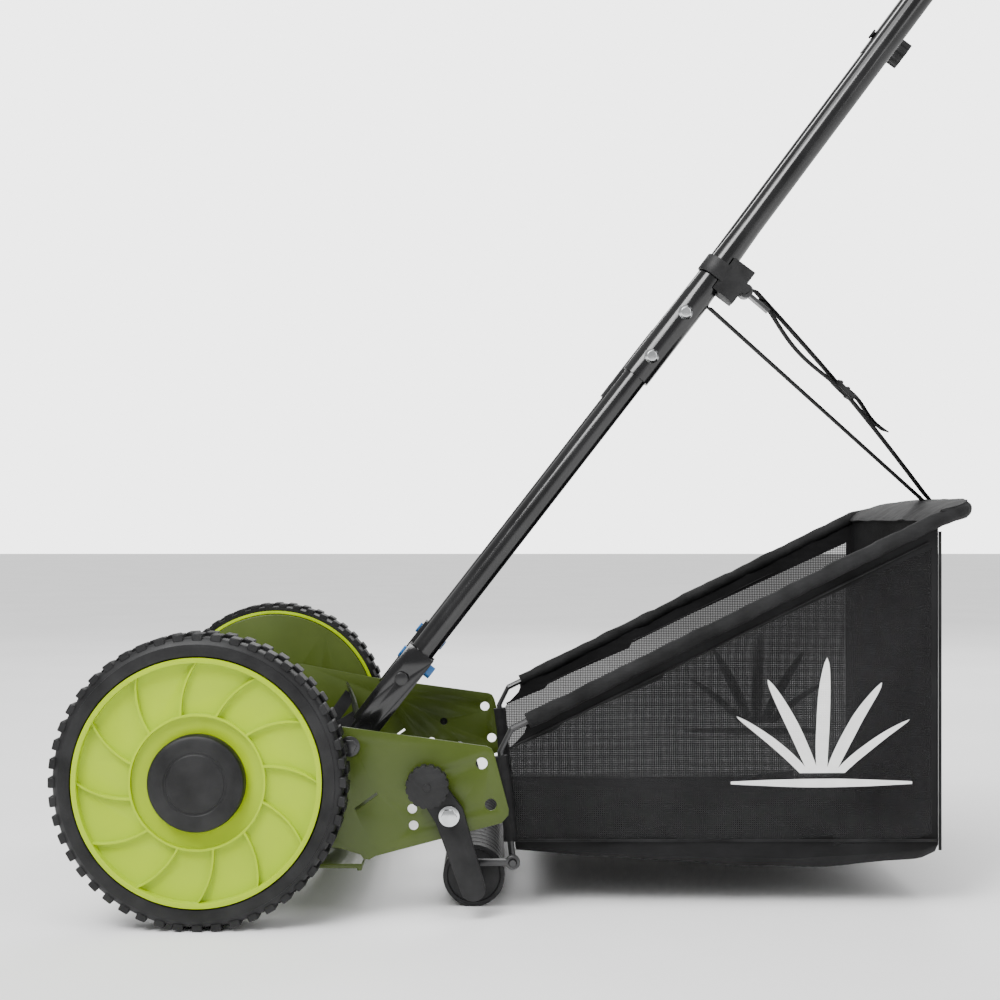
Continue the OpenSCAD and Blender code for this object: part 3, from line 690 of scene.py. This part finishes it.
def make_strap():
    """One webbing loop from the clip to the rear rim: a straight lower leg, an upper one with a buckle."""
    end = at(690, 0, 371)
    run = end - CLIP
    across = Vector((0, 1, 0))
    drop = run.cross(across).normalized()
    if drop.z > 0:
        drop = -drop
    ahead = run.normalized()

    def leg(t_from, t_to, offset, steps=24):
        line = []
        for i in range(steps + 1):
            t = t_from + (t_to - t_from) * i / steps
            line.append(CLIP + run * t + drop * offset(t, i / steps) * MM)
        return line

    tube_side = at(449, -152, 545)
    lower = [tube_side.lerp(end + drop * 2.5 * MM, 0.97 * i / 24) for i in range(25)]
    upper = leg(0.02, 0.97, lambda t, k: -2.5 - 5.0 * (1 - t) - 4 * math.sin(math.pi * t))
    turn = smooth_path([lower[-1], end + (drop * 2.5 + ahead * 3) * MM, end + ahead * 7 * MM,
                        end + (drop * -2.5 + ahead * 3) * MM, upper[-1]], 6)
    slack = leg(0.06, 0.47, lambda t, k: -1.0 - 5.0 * (1 - t) - 4 * math.sin(math.pi * t)
                + 7.0 * math.sin(math.pi * k) ** 1.5)
    tail = leg(0.47, 0.70, lambda t, k: -4.5 - 5.0 * (1 - t) - 4 * math.sin(math.pi * t)
               - 5.0 * k - 2.0 * math.sin(math.pi * 2 * k), 16)
    strap = join([webbing(line, wide * MM, thick * MM, "strap_leg", across)
                  for line, wide, thick in ((lower, 13, 1.6), (upper, 13, 1.6), (turn, 13, 1.6),
                                            (slack, 12, 1.5), (tail, 12, 1.5))])
    outward(strap)
    finish_piece(strap, "catcher_strap_webbing", "strap", "webbing", ["catcher_strap"], 50)
    make_buckle(CLIP + run * 0.48 - drop * 9.5 * MM, ahead, across, drop)


def make_buckle(place, ahead, across, drop):
    """A ladder buckle: a moulded frame with cross bars that the webbing threads through."""
    turn = Matrix((ahead, across, -drop)).transposed().to_4x4()
    parts = []
    cross_bars = ((-11, 0, 0, 3.4, 20, 4.4), (11, 0, 0.8, 3.4, 20, 4.4), (0, 0, 1.6, 3.0, 20, 3.4))
    side_bars = ((0, -9, 0, 23, 3, 4.6), (0, 9, 0, 23, 3, 4.6))
    lip = (14.5, 0, 3.2, 6, 14, 2.2)
    for x, y, z, sx, sy, sz in (*cross_bars, *side_bars, lip):
        deselect()
        bpy.ops.mesh.primitive_cube_add(size=1)
        bar = bpy.context.object
        bar.scale = (sx * MM, sy * MM, sz * MM)
        bpy.ops.object.transform_apply(scale=True)
        bevel = bar.modifiers.new("edges", "BEVEL")
        bevel.width = 0.0009
        bevel.segments = 2
        apply_modifiers(bar)
        bar.matrix_world = Matrix.Translation(place) @ turn @ Matrix.Translation((x * MM, y * MM, z * MM))
        parts.append(bar)
    buckle = join(parts)
    outward(buckle)
    finish_piece(buckle, "strap_buckle", "strap", "black_plastic", (), 40)


def make_print(bag):
    """A printed tuft of grass on each side, laid on the cloth."""
    root, tall = (548, 122), 104
    # Each blade's lean in degrees, its share of the height and how far its tip curls
    blades = ((-44, 0.6, -18), (-22, 0.85, -8), (0, 1.0, 5), (23, 0.83, 12), (46, 0.58, 20))
    off = 20                  # clear of the cloth, before it is laid on
    for side, word in ((-1, "left"), (1, "right")):
        points, faces = [], []
        for lean, share, curl in blades:
            base = len(points)
            for i in range(21):
                k = i / 20
                reach = tall * share * k
                middle = root[0] + lean * 0.35 + math.sin(math.radians(lean)) * reach + curl * k * k
                high = root[1] + math.cos(math.radians(lean * 0.8)) * reach
                half = 8.5 * (1 - k) ** 0.6 * (0.55 + k) + 0.1
                for edge in (-1, -0.33, 0.33, 1):
                    points.append(at(middle + edge * half, side * (BAG_HALF + off), high))
            for i in range(20):
                for e in range(3):
                    q = base + i * 4 + e
                    faces.append((q, q + 1, q + 5, q + 4))
        base = len(points)
        for i in range(41):
            x = root[0] - 82 + 4.1 * i
            thin = 1.2 + 2.6 * math.sin(math.pi * i / 40)
            for edge in (-thin, thin):
                points.append(at(x, side * (BAG_HALF + off), root[1] - 9 + edge))
        faces += [(base + 2 * i, base + 2 * i + 2, base + 2 * i + 3, base + 2 * i + 1) for i in range(40)]
        if side > 0:
            faces = [f[::-1] for f in faces]
        mesh = bpy.data.meshes.new("print")
        mesh.from_pydata(points, [], faces)
        obj = bpy.data.objects.new("print", mesh)
        bpy.context.scene.collection.objects.link(obj)
        wrap = obj.modifiers.new("lay", "SHRINKWRAP")
        wrap.target = bag
        wrap.wrap_method = "PROJECT"
        wrap.use_project_y = True
        wrap.use_negative_direction = True
        wrap.use_positive_direction = True
        wrap.wrap_mode = "ABOVE_SURFACE"
        wrap.project_limit = 0.04
        wrap.offset = 0.0005
        apply_modifiers(obj)
        finish_piece(obj, "catcher_print_" + word, "catcher", "print", (), 60)


def make_catcher():
    make_print(make_bag())
    make_sleeves()
    make_visor()
    make_seams()
    make_strap()


# ---- The hard parts ----
SOFT_EDGES = {
    "side_plate_left": 0.0006, "side_plate_right": 0.0006,
    "gear_cover_left": 0.0008, "gear_cover_right": 0.0008,
    "arm_left": 0.0012, "arm_right": 0.0012, "thumb_knob_left": 0.0006, "thumb_knob_right": 0.0006,
    "handle_bracket_left": 0.0008, "handle_bracket_right": 0.0008, "handle_knob_left": 0.0008,
    "handle_knob_right": 0.0008, "strap_clip": 0.0014, "strap_loop": 0.0008, "foam_grip": 0.002,
    "bedknife_bar": 0.0006, "bedknife": 0.0004, "catcher_hooks": 0.001, "tube_bolts": 0.0004,
    "arm_pivot_bolts": 0.0005, "roller": 0.0008, "roller_plugs": 0.0006, "bracket_nuts": 0.0005,
    "bracket_bolts": 0.0005, "cross_rod_bolts": 0.0006, "tube_nuts": 0.0005, "reel_bearings": 0.0006,
}


def make_hard_parts():
    for node, width in SOFT_EDGES.items():
        softened(node, width)


set_camera()
FINISHES = make_finishes()
floor_and_light()
for name, node in NODES.items():
    node.data.materials.clear()
    node.data.materials.append(FINISHES[SLOT_OF[name]].material)
make_wheels()
make_hard_parts()
make_catcher()
